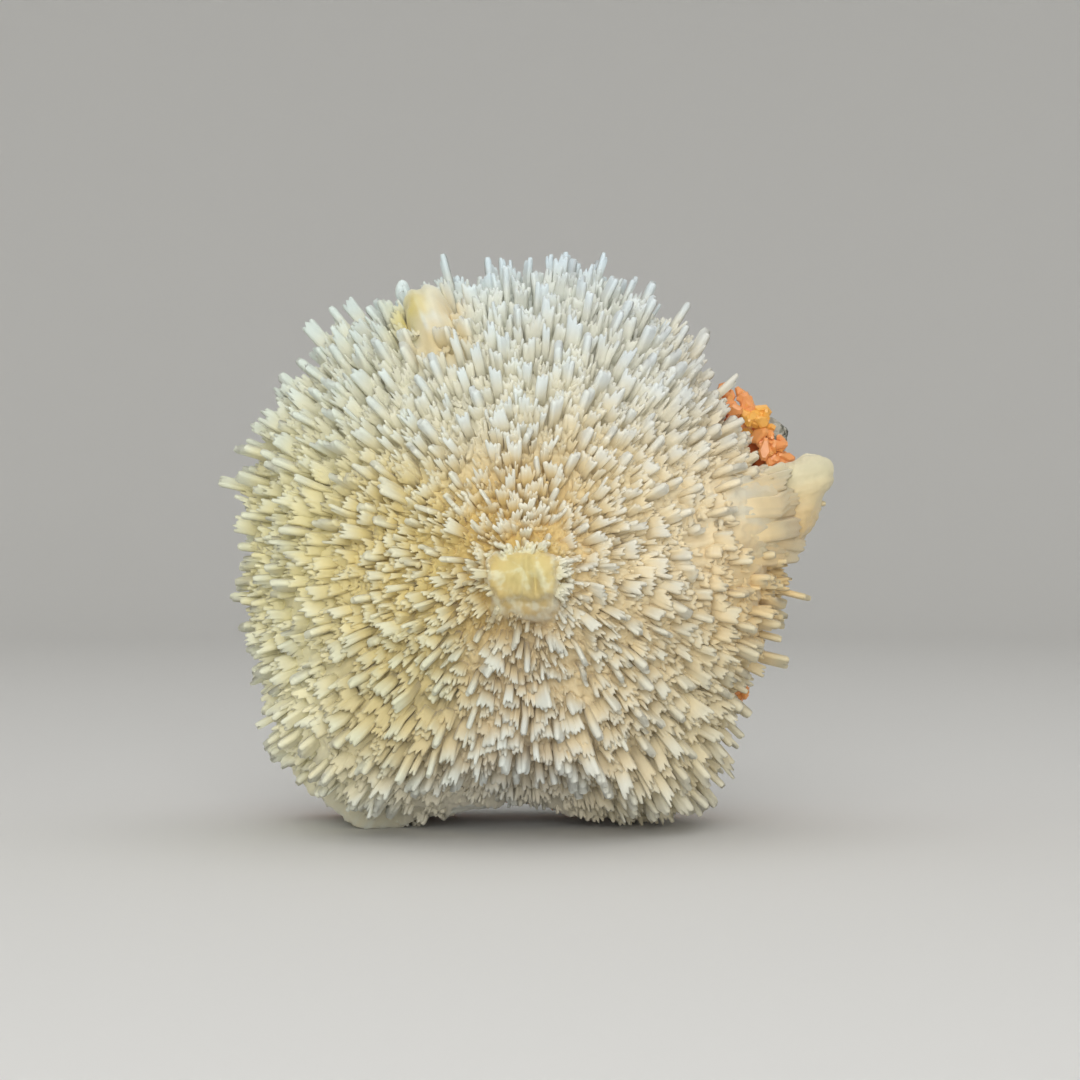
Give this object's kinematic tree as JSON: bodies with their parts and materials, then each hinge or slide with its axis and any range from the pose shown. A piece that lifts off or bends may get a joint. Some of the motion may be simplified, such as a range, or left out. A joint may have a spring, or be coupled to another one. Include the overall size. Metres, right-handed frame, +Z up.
{
  "type": "mordenite with heulandite mineral specimen",
  "caption": "Dome of radiating cream mordenite spines over orange heulandite crystals on a basalt slab, standing upright on its broken lower edge.",
  "frame": {"origin": "bottom centre of the specimen's bounding box, on the plane it stands on", "axes": "+Z up, -Y towards the viewer, where the spines point, +Y towards the basalt slab at the back, +X along the longest extent, to the viewer's right"},
  "size_m": [0.098, 0.0708, 0.0917],
  "materials": {
    "mordenite": "matte",
    "heulandite": "satin",
    "basalt": "matte"
  },
  "bodies": {
    "root": {"mordenite": "mordenite", "heulandite": "heulandite", "basalt": "basalt"}
  },
  "joints": []
}
